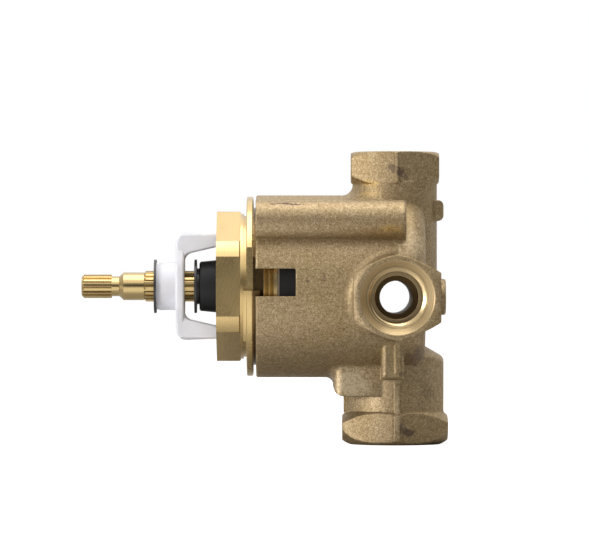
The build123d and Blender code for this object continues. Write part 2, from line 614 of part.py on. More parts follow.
def make_cartridge_housing():
    """Cup with a rim that rests on the casting's seat."""
    rim = CHAMBER_RADIUS - HOUSING_CLEARANCE
    sleeve = INNER_CHAMBER_RADIUS - HOUSING_CLEARANCE
    groove = HOUSING_SEAL_SECTION * 2
    groove_x = SEAT_X + HOUSING_WALL
    housing = turned([
        (HOUSING_FRONT_X, HOUSING_HOLE_RADIUS),
        (HOUSING_FRONT_X, rim),
        (SEAT_X, rim),
        (SEAT_X, sleeve),
        (groove_x, sleeve),
        (groove_x, sleeve - HOUSING_SEAL_SECTION * 2 + HOUSING_CLEARANCE),
        (groove_x + groove, sleeve - HOUSING_SEAL_SECTION * 2 + HOUSING_CLEARANCE),
        (groove_x + groove, sleeve),
        (BASE_BACK_X, sleeve),
        (BASE_BACK_X, HOUSING_INNER_RADIUS),
        (HOUSING_FRONT_X + HOUSING_FRONT_WALL, HOUSING_INNER_RADIUS),
        (HOUSING_FRONT_X + HOUSING_FRONT_WALL, HOUSING_HOLE_RADIUS),
    ])
    return housing - rod_x(PIN_RADIUS, SEAT_X - PIN_LENGTH / 2, SEAT_X, 0, STEM_AXIS_Z + PIN_PLACE_RADIUS)


def ring_seal(section, radius, x, z=STEM_AXIS_Z):
    """A round rubber ring about an axis along X, its middle circle at the radius."""
    return Pos(x, 0, z) * Rot(0, 90, 0) * Torus(radius, section)


def make_housing_o_ring():
    """Seal round the housing's sleeve."""
    sleeve = INNER_CHAMBER_RADIUS - HOUSING_SEAL_SECTION
    return ring_seal(HOUSING_SEAL_SECTION, sleeve, SEAT_X + HOUSING_WALL + HOUSING_SEAL_SECTION)


def make_locating_pin():
    """Pin between the housing's rim and the casting's seat."""
    return rod_x(PIN_RADIUS, SEAT_X - PIN_LENGTH / 2, SEAT_X + PIN_LENGTH / 2, 0,
                 STEM_AXIS_Z + PIN_PLACE_RADIUS)


def make_drive_carrier():
    """Driver with a slot for the stem's tang and two dogs that turn the moving disc."""
    radius = HOUSING_INNER_RADIUS - CARRIER_CLEARANCE
    carrier = rod_x(radius, CARRIER_X, MOVING_DISC_X) + drive_dogs(0)
    carrier -= block(CARRIER_X, TANG_X + TANG_LENGTH, -TANG_HALF_THICKNESS - TANG_CLEARANCE,
                     TANG_HALF_THICKNESS + TANG_CLEARANCE, STEM_AXIS_Z - TANG_HALF_WIDTH - TANG_CLEARANCE,
                     STEM_AXIS_Z + TANG_HALF_WIDTH + TANG_CLEARANCE)
    return carrier


def drive_dogs(growth):
    """Two dogs near the moving disc's rim, above and below the axis."""
    dogs = None
    for side in (-1, 1):
        outer = STEM_AXIS_Z + side * (DISC_RADIUS - DOG_REACH / 2 + growth)
        inner = STEM_AXIS_Z + side * (DISC_RADIUS - DOG_REACH * 1.5 - growth)
        dog = block(MOVING_DISC_X, MOVING_DISC_X + DOG_LENGTH + growth, -DOG_WIDTH / 2 - growth,
                    DOG_WIDTH / 2 + growth, min(outer, inner), max(outer, inner))
        dogs = dog if dogs is None else dogs + dog
    return dogs


def make_moving_disc():
    """Ceramic plate with notches for the dogs and the slot that links the centre to either outlet."""
    disc = rod_x(DISC_RADIUS, MOVING_DISC_X, FIXED_DISC_X) - drive_dogs(DOG_CLEARANCE)
    slot_x = FIXED_DISC_X - DISC_THICKNESS / 2
    slot = rod_x(CENTRE_WAY_RADIUS, slot_x, FIXED_DISC_X)
    slot += rod_x(OUTLET_RADIUS, slot_x, FIXED_DISC_X, -OUTLET_OFFSET)
    slot += block(slot_x, FIXED_DISC_X, -OUTLET_OFFSET, 0, STEM_AXIS_Z - OUTLET_RADIUS, STEM_AXIS_Z + OUTLET_RADIUS)
    return disc - slot


def waterways(x_from, x_to, centre_radius, outlet_radius, outlet_offset):
    """The three holes that cross a plate of the cartridge."""
    holes = rod_x(centre_radius, x_from, x_to)
    for side in (-1, 1):
        holes += rod_x(outlet_radius, x_from, x_to, 0, STEM_AXIS_Z + side * outlet_offset)
    return holes


def make_fixed_disc():
    """Ceramic plate with the three waterways."""
    disc = rod_x(BASE_RADIUS, FIXED_DISC_X, DISC_SEAL_X)
    return disc - waterways(FIXED_DISC_X, DISC_SEAL_X, CENTRE_WAY_RADIUS, OUTLET_RADIUS, OUTLET_OFFSET)


def make_disc_seal():
    """Flat rubber seal with one lip round each waterway."""
    margin = SEAL_SECTION * 2
    seal = waterways(DISC_SEAL_X, BASE_X, CENTRE_WAY_RADIUS + margin, OUTLET_RADIUS + SEAL_SECTION, OUTLET_OFFSET)
    seal += block(DISC_SEAL_X, BASE_X, -SEAL_SECTION, SEAL_SECTION, LOW_OUTLET_Z, TOP_OUTLET_Z)
    return seal - waterways(DISC_SEAL_X, BASE_X, CENTRE_WAY_RADIUS, OUTLET_RADIUS, OUTLET_OFFSET)


def make_cartridge_base():
    """Base with the three waterways and a groove round each for its seal."""
    base = rod_x(BASE_RADIUS, BASE_X, BASE_BACK_X)
    base -= waterways(BASE_X, BASE_BACK_X, CENTRE_WAY_RADIUS, OUTLET_RADIUS, OUTLET_OFFSET)
    groove_x = BASE_BACK_X - SEAL_SECTION * 2 + HOUSING_SETBACK
    for z, radius in seal_places():
        base -= rod_x(radius + SEAL_SECTION, groove_x, BASE_BACK_X, 0, z)
    return base


def seal_places():
    """Height of each waterway and middle radius of the seal round it."""
    centre = (STEM_AXIS_Z, CENTRE_WAY_RADIUS + SEAL_SECTION)
    top = (TOP_OUTLET_Z, OUTLET_RADIUS + SEAL_SECTION)
    low = (LOW_OUTLET_Z, OUTLET_RADIUS + SEAL_SECTION)
    return [centre, top, low]


def spline_section(radius, teeth, growth=0.0):
    """A toothed round section, drawn round the origin."""
    corners = []
    root = radius - TOOTH_DEPTH
    for tooth in range(teeth):
        for share, reach in ((0.0, root), (0.28, root), (0.42, radius), (0.86, radius)):
            angle = math.tau * (tooth + share) / teeth
            corners.append(((reach + growth) * math.cos(angle), (reach + growth) * math.sin(angle)))
    return make_face(Polyline(*corners, close=True).edges())


def make_stem():
    """Stem: splined tip, groove, cone, shank, hub spline, journal, head and tang."""
    tip_spline = along_x(spline_section(TIP_SPLINE_RADIUS, TIP_SPLINE_TEETH), STEM_TIP_X, GROOVE_X)
    tip_spline &= turned([
        (STEM_TIP_X, 0),
        (STEM_TIP_X, TIP_SPLINE_RADIUS - TIP_CHAMFER),
        (STEM_TIP_X + TIP_CHAMFER, TIP_SPLINE_RADIUS),
        (GROOVE_X, TIP_SPLINE_RADIUS),
        (GROOVE_X, 0),
    ])
    hub_spline = along_x(spline_section(HUB_SPLINE_RADIUS, HUB_SPLINE_TEETH), HUB_SPLINE_X, INNER_CLIP_X)
    hub_spline &= turned([
        (HUB_SPLINE_X, 0),
        (HUB_SPLINE_X, HUB_SPLINE_RADIUS - HUB_SPLINE_CHAMFER),
        (HUB_SPLINE_X + HUB_SPLINE_CHAMFER, HUB_SPLINE_RADIUS),
        (INNER_CLIP_X, HUB_SPLINE_RADIUS),
        (INNER_CLIP_X, 0),
    ])
    outline = [(GROOVE_X, 0), (GROOVE_X, GROOVE_RADIUS), (CONE_X, GROOVE_RADIUS), (SHANK_X, SHANK_RADIUS),
               (HUB_SPLINE_X, SHANK_RADIUS), (HUB_SPLINE_X, HUB_SPLINE_RADIUS - TOOTH_DEPTH),
               (INNER_CLIP_X, HUB_SPLINE_RADIUS - TOOTH_DEPTH), (INNER_CLIP_X, CLIP_GROOVE_RADIUS),
               (INNER_CLIP_X + CLIP_THICKNESS, CLIP_GROOVE_RADIUS),
               (INNER_CLIP_X + CLIP_THICKNESS, JOURNAL_RADIUS)]
    groove_depth = STEM_SEAL_SECTION * 2 - STEM_SEAL_SQUEEZE
    for place in STEM_SEAL_PLACES:
        groove_x = BUSHING_FRONT_X + place
        outline.append((groove_x - STEM_SEAL_SECTION, JOURNAL_RADIUS))
        outline.append((groove_x - STEM_SEAL_SECTION, JOURNAL_RADIUS - groove_depth))
        outline.append((groove_x + STEM_SEAL_SECTION, JOURNAL_RADIUS - groove_depth))
        outline.append((groove_x + STEM_SEAL_SECTION, JOURNAL_RADIUS))
    outline += [(HEAD_X, JOURNAL_RADIUS), (HEAD_X, HEAD_RADIUS), (TANG_X, HEAD_RADIUS), (TANG_X, 0)]
    stem = turned(outline) + tip_spline + hub_spline
    stem -= turned([
        (OUTER_CLIP_X, CLIP_GROOVE_RADIUS),
        (OUTER_CLIP_X, CLIP_RADIUS),
        (YOKE_FRONT_X, CLIP_RADIUS),
        (YOKE_FRONT_X, CLIP_GROOVE_RADIUS),
    ])
    stem += block(TANG_X, TANG_X + TANG_LENGTH, -TANG_HALF_THICKNESS, TANG_HALF_THICKNESS,
                  STEM_AXIS_Z - TANG_HALF_WIDTH, STEM_AXIS_Z + TANG_HALF_WIDTH)
    return stem


def make_clip(x_from):
    """Thin retaining ring in a groove of the stem, open on the far side."""
    clip = turned([
        (x_from, CLIP_GROOVE_RADIUS + CLIP_CLEARANCE),
        (x_from, CLIP_RADIUS),
        (x_from + CLIP_THICKNESS, CLIP_RADIUS),
        (x_from + CLIP_THICKNESS, CLIP_GROOVE_RADIUS + CLIP_CLEARANCE),
    ])
    return clip - block(x_from, x_from + CLIP_THICKNESS, 0, CLIP_RADIUS + 1,
                        STEM_AXIS_Z - CLIP_SLOT / 2, STEM_AXIS_Z + CLIP_SLOT / 2)


def make_thrust_collar():
    """Stepped collar between the inner clip and the bushing."""
    x_from = INNER_CLIP_X + CLIP_THICKNESS
    bore = JOURNAL_RADIUS + CLIP_CLEARANCE
    return turned([
        (x_from, bore),
        (x_from, COLLAR_RADIUS),
        (x_from + COLLAR_THICKNESS, COLLAR_RADIUS),
        (x_from + COLLAR_THICKNESS, bore),
    ])


def make_stem_o_ring(place):
    """Rubber ring in one of the stem's grooves."""
    radius = JOURNAL_RADIUS - STEM_SEAL_SECTION + STEM_SEAL_SQUEEZE
    return ring_seal(STEM_SEAL_SECTION, radius, BUSHING_FRONT_X + place)


def yoke_arm(side):
    """One arm: rounded corner outside, a smaller one inside, and rounded edges."""
    tip_x = NUT_FLOOR_X - YOKE_TIP_GAP
    outer_corner = (YOKE_PLATE_X, YOKE_OUTER)
    inner_corner = (YOKE_BACK_X, YOKE_ROOT_INNER)
    outline = Polyline(
        (YOKE_PLATE_X, 0),
        outer_corner,
        (HEX_FRONT_X, YOKE_TIP_OUTER),
        (tip_x, YOKE_TIP_OUTER),
        (tip_x, YOKE_TIP_INNER),
        (HEX_FRONT_X, YOKE_TIP_INNER),
        inner_corner,
        (YOKE_BACK_X, 0),
        close=True,
    )
    face = make_face(outline.edges())
    face = fillet(face.vertices().sort_by_distance((*outer_corner, 0))[0], YOKE_CORNER)
    face = fillet(face.vertices().sort_by_distance((*inner_corner, 0))[0], YOKE_INNER_CORNER)
    arm = Pos(0, YOKE_HALF_WIDTH, 0) * Rot(90, 0, 0) * extrude(face, amount=YOKE_HALF_WIDTH * 2)
    sides = arm.faces().filter_by(Axis.Y).edges()
    arm = fillet([edge for edge in sides if edge.center().Z > YOKE_HUB_RADIUS], YOKE_EDGE)
    arm = Pos(0, 0, STEM_AXIS_Z) * arm
    if side < 0:
        arm = Pos(0, 0, 2 * STEM_AXIS_Z) * mirror(arm, about=Plane.XY)
    return arm


def make_limit_yoke():
    """White yoke: hub on the spline, plate and two arms that reach into the nut."""
    yoke = yoke_arm(1) + yoke_arm(-1)
    yoke &= rod_x(YOKE_OUTER, YOKE_PLATE_X, FLANGE_BACK_X)
    yoke += turned([
        (YOKE_FRONT_X, 0),
        (YOKE_FRONT_X, YOKE_HUB_RADIUS - YOKE_HUB_STEP),
        (YOKE_FRONT_X + YOKE_HUB_STEP_LENGTH, YOKE_HUB_RADIUS - YOKE_HUB_STEP),
        (YOKE_FRONT_X + YOKE_HUB_STEP_LENGTH, YOKE_HUB_RADIUS),
        (YOKE_BACK_X, YOKE_HUB_RADIUS),
        (YOKE_BACK_X, 0),
    ])
    bore = spline_section(HUB_SPLINE_RADIUS, HUB_SPLINE_TEETH, SPLINE_FIT)
    return yoke - along_x(bore, YOKE_FRONT_X, YOKE_BACK_X)


def make_parts():
    """Every node's name and its solid."""
    parts = {
        "valve_body": make_valve_body(),
        "retaining_ring": make_retaining_ring(),
        "bonnet_nut": make_bonnet_nut(),
        "stem_bushing": make_stem_bushing(),
        "slip_washer": make_slip_washer(),
        "cartridge_housing": make_cartridge_housing(),
        "housing_o_ring": make_housing_o_ring(),
        "locating_pin": make_locating_pin(),
        "drive_carrier": make_drive_carrier(),
        "moving_ceramic_disc": make_moving_disc(),
        "fixed_ceramic_disc": make_fixed_disc(),
        "disc_seal": make_disc_seal(),
        "cartridge_base": make_cartridge_base(),
        "stem": make_stem(),
        "outer_clip": make_clip(OUTER_CLIP_X),
        "inner_clip": make_clip(INNER_CLIP_X),
        "thrust_collar": make_thrust_collar(),
        "limit_yoke": make_limit_yoke(),
    }
    for name, (z, radius) in zip(("centre", "top", "bottom"), seal_places()):
        parts[f"base_seal_{name}"] = ring_seal(SEAL_SECTION, radius, FLOOR_X - SEAL_SECTION, z)
    for name, place in zip(("front", "rear"), STEM_SEAL_PLACES):
        parts[f"stem_o_ring_{name}"] = make_stem_o_ring(place)
    return parts


os.makedirs("parts", exist_ok=True)
for node, solid in make_parts().items():
    solid.label = node
    export_step(solid, f"parts/{node}.step")
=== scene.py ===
"""Finishes, port threads, yoke plate and studio of a cast brass shower transfer valve."""

import json
import math

import bmesh
import bpy
from bpy.props import FloatProperty, FloatVectorProperty, IntProperty, PointerProperty
from mathutils import Matrix, Vector

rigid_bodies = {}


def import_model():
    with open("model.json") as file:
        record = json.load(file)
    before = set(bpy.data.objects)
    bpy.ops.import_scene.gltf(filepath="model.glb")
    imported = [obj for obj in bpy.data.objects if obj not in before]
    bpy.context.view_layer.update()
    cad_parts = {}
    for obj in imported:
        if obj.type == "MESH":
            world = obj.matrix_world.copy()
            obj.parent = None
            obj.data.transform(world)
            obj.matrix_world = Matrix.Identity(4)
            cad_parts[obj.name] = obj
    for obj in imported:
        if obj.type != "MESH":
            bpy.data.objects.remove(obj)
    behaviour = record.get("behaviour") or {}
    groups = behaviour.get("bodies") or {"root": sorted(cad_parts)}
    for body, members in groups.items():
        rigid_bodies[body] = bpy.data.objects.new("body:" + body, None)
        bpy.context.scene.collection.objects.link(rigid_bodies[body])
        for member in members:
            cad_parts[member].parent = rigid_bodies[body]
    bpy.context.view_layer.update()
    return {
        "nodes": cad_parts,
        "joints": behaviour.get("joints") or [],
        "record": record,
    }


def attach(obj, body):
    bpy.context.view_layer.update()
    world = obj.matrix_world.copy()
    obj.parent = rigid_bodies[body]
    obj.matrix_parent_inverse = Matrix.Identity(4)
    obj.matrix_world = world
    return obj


bl_info = {
    "name": "Shower Transfer Valve",
    "version": (1, 0, 0),
    "blender": (4, 5, 0),
    "location": "View3D > Sidebar > Valve",
    "description": "Finishes for a cast brass shower transfer valve and its studio",
    "category": "Object",
}

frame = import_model()
NODES = frame["nodes"]
MOUNTS = {mount["name"]: mount for mount in frame["record"]["mounts"]}
JOINT = frame["joints"][0]

MM = 0.001
STEM_AXIS_Z = JOINT["pos_m"][2]
SIDE_AXIS_Z = MOUNTS["left_port"]["pos_m"][2]
FIXED_BODY = JOINT["parent"]
TURNING_BODY = JOINT["child"]
PORT_RADIUS = MOUNTS["top_port"]["dims"]["r_mm"] * MM
INLET_RADIUS = MOUNTS["bottom_port"]["dims"]["r_mm"] * MM

# How far the machined mouths reach past the radius of a port and of the bottom inlet
PORT_RIM = 3.25 * MM
INLET_RIM = 1.6 * MM

# Where the machined bores end, and where the painted shade deep in the side bores starts and becomes full
TOP_BORE_LOW_Z = 94.5 * MM
INLET_BORE_HIGH_Z = 16 * MM
SIDE_BORE_INNER_Y = 24 * MM
SIDE_SHADE_START_Y = 31 * MM
SIDE_SHADE_FULL_Y = 26.2 * MM

# How far outside its mount's point each port's thread starts, and how deep its root sits in the wall
THREAD_STARTS = {"bottom_port": 0.0, "top_port": 6.6 * MM, "left_port": 6.6 * MM, "right_port": 6.6 * MM}
THREAD_SINK = 0.06 * MM

# Height over the stem's axis where the milling marks of the nut's side flats are full, and where they end
MILLED_FULL = 11 * MM
MILLED_END = 12 * MM

# The stretch of the retaining ring behind its flange that is painted dark as shade, and the height of all
# tool marks
RING_SHADE_X = (-53.2 * MM, -49.4 * MM)
TOOL_MARK_HEIGHT = 0.01 * MM

# The yoke's plate, with its half widths round the hub and at its ends, and the half heights
# where it starts to narrow and where it ends
PLATE_THICKNESS = 3.3 * MM
PLATE_HALF_WIDTHS = (9.5 * MM, 6.6 * MM)
PLATE_HALF_HEIGHTS = (7.0 * MM, 15.5 * MM)
PLATE_EDGE = 0.9 * MM

# The patch of floor before the valve that glows only to reflections, a painted reflection: each pair runs
# from dark to bright
FLOOR_NEAR_Y = (-0.03, -0.08)
FLOOR_FAR_Y = (-0.5, -0.25)
FLOOR_LEFT_X = (0.0, -0.06)
FLOOR_REACH = 30.0

# The white wall and ceiling that metal mirrors, by the direction's Y and Z, from dark to bright
WALL_Y = (-0.35, 0.25)
CEILING_Z = (0.05, 0.75)


# Settings that a user would change

def colour_property(name, description, default):
    """A linear colour without alpha."""
    return FloatVectorProperty(name=name, description=description, subtype="COLOR", size=3,
                               min=0.0, max=1.0, default=default)


def length_property(name, description, default, low=0.0):
    """A length in metres."""
    return FloatProperty(name=name, description=description, subtype="DISTANCE", unit="LENGTH",
                         default=default, min=low)


def power_property(name, description, default):
    """The power of a lamp in watts."""
    return FloatProperty(name=name, description=description, unit="POWER", default=default, min=0.0)


def level_property(name, description, default):
    """A brightness, where 1 is white."""
    return FloatProperty(name=name, description=description, default=default, min=0.0)


class CastingSettings(bpy.types.PropertyGroup):
    """Colours and grain of the casting"""
    colour: colour_property("Casting", "Blasted brass of the casting", (0.345, 0.25, 0.136))
    # Pale grains, and pale spots that are painted light and highlight on the casting
    pale_grain_and_light_colour: colour_property("Casting, pale grains", "Brighter grains", (0.66, 0.53, 0.345))
    dark_colour: colour_property("Casting, dark grains", "Pits and dark grains", (0.125, 0.082, 0.042))
    # Stains, and painted shade on both sides of the rib under the near port
    stain_and_shade_colour: colour_property("Stain", "Dark marks left by handling", (0.10, 0.062, 0.05))
    tint_colour: colour_property("Heat tint", "Golden patches", (0.55, 0.36, 0.11))
    ochre_colour: colour_property("Ochre patches", "Yellower patches of the skin", (0.35, 0.25, 0.09))
    # Turning marks in the bores, and painted shade deep in the side ports
    turn_mark_and_depth_shade_colour: colour_property("Depth of the ports", "Dull brass past the threads", (0.13, 0.08, 0.028))
    bore_colour: colour_property("Machined bores", "Brass of the bores and mouths", (0.62, 0.465, 0.25))
    grain_size: length_property("Grain size", "Width of a grain of the blasted skin", 0.52 * MM, 0.1 * MM)
    grain_height: length_property("Grain height", "Height of the grain", 0.09 * MM)
    turn_pitch: length_property("Turning marks", "Spacing of the bores' turning marks", 0.9 * MM, 0.1 * MM)
    edge_round: length_property("Edge round", "Radius of the casting's soft edges", 0.8 * MM)


class MetalSettings(bpy.types.PropertyGroup):
    """Colours and tool marks of the machined metal"""
    nut_colour: colour_property("Nut and ring", "Milled and turned brass", (0.56, 0.405, 0.18))
    stem_colour: colour_property("Stem", "Turned brass of the stem", (0.47, 0.345, 0.155))
    mill_pitch: length_property("Mill marks", "Spacing of the milling marks on the flats", 1.0 * MM, 0.1 * MM)
    turn_pitch: length_property("Turning marks", "Spacing of the turning marks", 0.9 * MM, 0.1 * MM)
    # Painted shade on the ring behind its flange, in the recess and the window
    recess_shade_colour: colour_property("Tarnish", "Brass left dull behind the ring's flange", (0.10, 0.06, 0.02))
    clip_colour: colour_property("Clips", "Blackened spring steel", (0.028, 0.027, 0.027))
    pin_colour: colour_property("Pin", "Ground steel", (0.55, 0.55, 0.56))


class PlasticSettings(bpy.types.PropertyGroup):
    """Colours of the plastics, rubber and ceramic, and the place of the yoke's plate"""
    yoke_colour: colour_property("Yoke", "White acetal", (0.87, 0.865, 0.91))
    plate_x: length_property("Yoke plate", "Middle of the yoke's plate along the stem", -80.85 * MM, -1.0)
    black_colour: colour_property("Bushing", "Black plastic", (0.013, 0.0125, 0.013))
    grey_colour: colour_property("Slip washer", "Grey plastic", (0.22, 0.18, 0.13))
    rubber_colour: colour_property("Seals", "Black rubber", (0.02, 0.02, 0.02))
    ceramic_colour: colour_property("Discs", "Lapped ceramic", (0.83, 0.82, 0.78))


class ThreadSettings(bpy.types.PropertyGroup):
    """Shape of the ridges in the ports"""
    pitch: length_property("Pitch", "Pitch of the pipe threads", 1.81 * MM, 0.5 * MM)
    depth: length_property("Depth", "Height of the thread's ridge", 0.9 * MM, 0.1 * MM)
    steps: IntProperty(name="Steps", description="Corners of one turn of the ridge", default=72, min=12)


class StageSettings(bpy.types.PropertyGroup):
    """Camera, lamps, floor and room"""
    distance: length_property("Camera distance", "From the stem's plane to the camera", 1.7, 0.5)
    view_width: length_property("View width", "Width of the view at the stem's plane", 222.2 * MM, 0.05)
    centre_x: length_property("View centre X", "Where the camera looks, along the stem", -37.8 * MM, -1.0)
    centre_z: length_property("View centre Z", "Height where the camera looks", 66.3 * MM)
    top_power: power_property("Top light", "Soft light above", 8.6)
    front_power: power_property("Front light", "Soft light above the camera", 2.2)
    back_power: power_property("Back light", "Soft light above and behind", 1.1)
    left_power: power_property("Left light", "Low light at the left", 8.8)
    room_level: level_property("Room level", "Mirrored brightness of the room behind the camera", 0.04)
    wall_level: level_property("Wall level", "Mirrored brightness of the wall behind and the ceiling", 1.0)
    ambient_level: level_property("Ambient level", "Even light of the whole room", 0.2)
    floor_colour: colour_property("Floor", "Pale floor", (0.72, 0.72, 0.72))
    # A painted reflection: floor before the valve that glows only to glossy rays
    front_floor_glow: level_property("Front floor", "How bright metal mirrors the floor before the valve", 0.9)
    floor_lift: level_property("Floor lift", "Brightness that the camera sees on top of the lit floor", 0.9)


# Node helpers

class Nodes:
    """Short ways to place and link nodes in one tree."""

    def __init__(self, tree):
        self.tree = tree
        self.column = 0

    def new(self, kind, inputs=None, **settings):
        """A node of a kind, with its settings and its inputs' values or links."""
        node = self.tree.nodes.new(kind)
        node.location = (self.column * 180, -(len(self.tree.nodes) % 6) * 180)
        self.column += 1
        for name, value in settings.items():
            setattr(node, name, value)
        for key, value in (inputs or {}).items():
            self.feed(node.inputs[key], value)
        return node

    def feed(self, socket, value):
        """Link an output to the socket, or set the socket's own value."""
        if isinstance(value, bpy.types.NodeSocket):
            self.tree.links.new(value, socket)
        elif hasattr(value, "__len__") and len(value) == 3 and socket.type == "RGBA":
            socket.default_value = (*value, 1.0)
        else:
            socket.default_value = value

    def math(self, operation, first, second=0.0):
        """The output of a math node."""
        node = self.new("ShaderNodeMath", operation=operation)
        self.feed(node.inputs[0], first)
        self.feed(node.inputs[1], second)
        return node.outputs[0]

    def ramp(self, value, low, high):
        """A soft step from 0 at low to 1 at high."""
        node = self.new("ShaderNodeMapRange", interpolation_type="SMOOTHSTEP",
                        inputs={"Value": value, "From Min": low, "From Max": high})
        return node.outputs["Result"]

    def mix(self, mask, first, second):
        """The first colour, and the second where the mask is 1."""
        node = self.new("ShaderNodeMix", data_type="RGBA")
        colours = [socket for socket in node.inputs if socket.type == "RGBA"]
        self.feed(node.inputs[0], mask)
        self.feed(colours[0], first)
        self.feed(colours[1], second)
        return [socket for socket in node.outputs if socket.type == "RGBA"][0]

    def noise(self, vector, scale, detail, roughness):
        """Smooth noise between 0 and 1."""
        node = self.new("ShaderNodeTexNoise",
                        inputs={"Vector": vector, "Scale": scale, "Detail": detail, "Roughness": roughness})
        return node.outputs["Fac"]

    def parts(self, vector):
        """The X, Y and Z of a vector."""
        return self.new("ShaderNodeSeparateXYZ", inputs={"Vector": vector}).outputs

    def group(self, tree, inputs):
        """The outputs of a shared group with its inputs' values or links."""
        node = self.new("ShaderNodeGroup", node_tree=tree)
        for name, value in inputs.items():
            self.feed(node.inputs[name], value)
        return node.outputs


def new_group(name, inputs, outputs):
    """An empty shader node group with named sockets, its helper, and its two end nodes."""
    tree = bpy.data.node_groups.new(name, "ShaderNodeTree")
    for socket_name, kind, default in inputs:
        socket = tree.interface.new_socket(socket_name, in_out="INPUT", socket_type=kind)
        if default is not None:
            socket.default_value = default
    for socket_name, kind in outputs:
        tree.interface.new_socket(socket_name, in_out="OUTPUT", socket_type=kind)
    nodes = Nodes(tree)
    source = nodes.new("NodeGroupInput")
    sink = nodes.new("NodeGroupOutput")
    return tree, nodes, source.outputs, sink.inputs


def build_grain_group():
    """Blasted or moulded grain: a height, masks of pale and dark grains, and slow patches."""
    tree, nodes, given, out = new_group(
        "Grain",
        [("Vector", "NodeSocketVector", None), ("Size", "NodeSocketFloat", 0.0004),
         ("Patches", "NodeSocketFloat", 0.02)],
        [("Height", "NodeSocketFloat"), ("Pale", "NodeSocketFloat"), ("Dark", "NodeSocketFloat"),
         ("Patch", "NodeSocketFloat")])
    scale = nodes.math("DIVIDE", 1.0, given["Size"])
    fine = nodes.noise(given["Vector"], scale, 2.0, 0.65)
    coarse = nodes.noise(given["Vector"], nodes.math("MULTIPLY", scale, 0.4), 2.0, 0.5)
    height = nodes.math("ADD", nodes.math("MULTIPLY", fine, 0.7), nodes.math("MULTIPLY", coarse, 0.3))
    nodes.feed(out["Height"], height)
    nodes.feed(out["Pale"], nodes.ramp(height, 0.48, 0.68))
    nodes.feed(out["Dark"], nodes.ramp(height, 0.52, 0.32))
    patch_scale = nodes.math("DIVIDE", 1.0, given["Patches"])
    patch = nodes.noise(given["Vector"], patch_scale, 3.0, 0.6)
    nodes.feed(out["Patch"], nodes.ramp(patch, 0.35, 0.68))
    return tree


def build_spot_group():
    """A soft-edged spot round a place, broken up by noise."""
    tree, nodes, given, out = new_group(
        "Soft spot",
        [("Vector", "NodeSocketVector", None), ("Place", "NodeSocketVector", (0.0, 0.0, 0.0)),
         ("Reach", "NodeSocketVector", (0.002, 0.002, 0.002)), ("Breakup", "NodeSocketFloat", 0.5)],
        [("Mask", "NodeSocketFloat")])
    offset = nodes.new("ShaderNodeVectorMath", operation="SUBTRACT",
                       inputs={0: given["Vector"], 1: given["Place"]}).outputs[0]
    scaled = nodes.new("ShaderNodeVectorMath", operation="DIVIDE",
                       inputs={0: offset, 1: given["Reach"]}).outputs[0]
    distance = nodes.new("ShaderNodeVectorMath", operation="LENGTH", inputs={0: scaled}).outputs["Value"]
    noise = nodes.noise(given["Vector"], 900.0, 3.0, 0.6)
    shift = nodes.math("MULTIPLY", nodes.math("SUBTRACT", noise, 0.5), given["Breakup"])
    edge = nodes.math("ADD", distance, nodes.math("MULTIPLY", shift, 2.0))
    nodes.feed(out["Mask"], nodes.ramp(edge, 1.0, 0.35))
    return tree


def build_marks_group():
    """Tool marks: fine wavy lines across a coordinate, as a height and a mask."""
    tree, nodes, given, out = new_group(
        "Tool marks",
        [("Vector", "NodeSocketVector", None), ("Across", "NodeSocketFloat", 0.0),
         ("Pitch", "NodeSocketFloat", 0.0005), ("Wander", "NodeSocketFloat", 0.3)],
        [("Height", "NodeSocketFloat"), ("Mask", "NodeSocketFloat")])
    turns = nodes.math("DIVIDE", given["Across"], given["Pitch"])
    wander = nodes.math("MULTIPLY", nodes.noise(given["Vector"], 500.0, 2.0, 0.5), given["Wander"])
    phase = nodes.math("MULTIPLY", nodes.math("ADD", turns, wander), math.tau)
    wave = nodes.math("ADD", nodes.math("MULTIPLY", nodes.math("SINE", phase), 0.5), 0.5)
    uneven = nodes.noise(given["Vector"], 1400.0, 3.0, 0.6)
    height = nodes.math("ADD", nodes.math("MULTIPLY", wave, 0.7), nodes.math("MULTIPLY", uneven, 0.3))
    nodes.feed(out["Height"], height)
    nodes.feed(out["Mask"], nodes.ramp(height, 0.25, 0.8))
    return tree


def group(name, builder):
    """The shared group of that name, built on first use."""
    return bpy.data.node_groups.get(name) or builder()


def new_material(name):
    """A material, its node helper, its shader and object coordinates."""
    material = bpy.data.materials.new(name)
    material.use_nodes = True
    tree = material.node_tree
    shader = tree.nodes["Principled BSDF"]
    nodes = Nodes(tree)
    place = nodes.new("ShaderNodeTexCoord").outputs["Object"]
    return material, nodes, shader, place


def bump(nodes, shader, height, distance, edge_round=0.0):
    """Lead a height, over softened edges where asked, into the shader's normal."""
    node = nodes.new("ShaderNodeBump", inputs={"Distance": distance, "Height": height})
    if edge_round > 0.0:
        edges = nodes.new("ShaderNodeBevel", samples=6, inputs={"Radius": edge_round})
        nodes.feed(node.inputs["Normal"], edges.outputs["Normal"])
    nodes.feed(shader.inputs["Normal"], node.outputs["Normal"])


def finish_node(name, material):
    """Give a CAD node its material."""
    obj = NODES[name]
    obj.data.materials.clear()
    obj.data.materials.append(material)
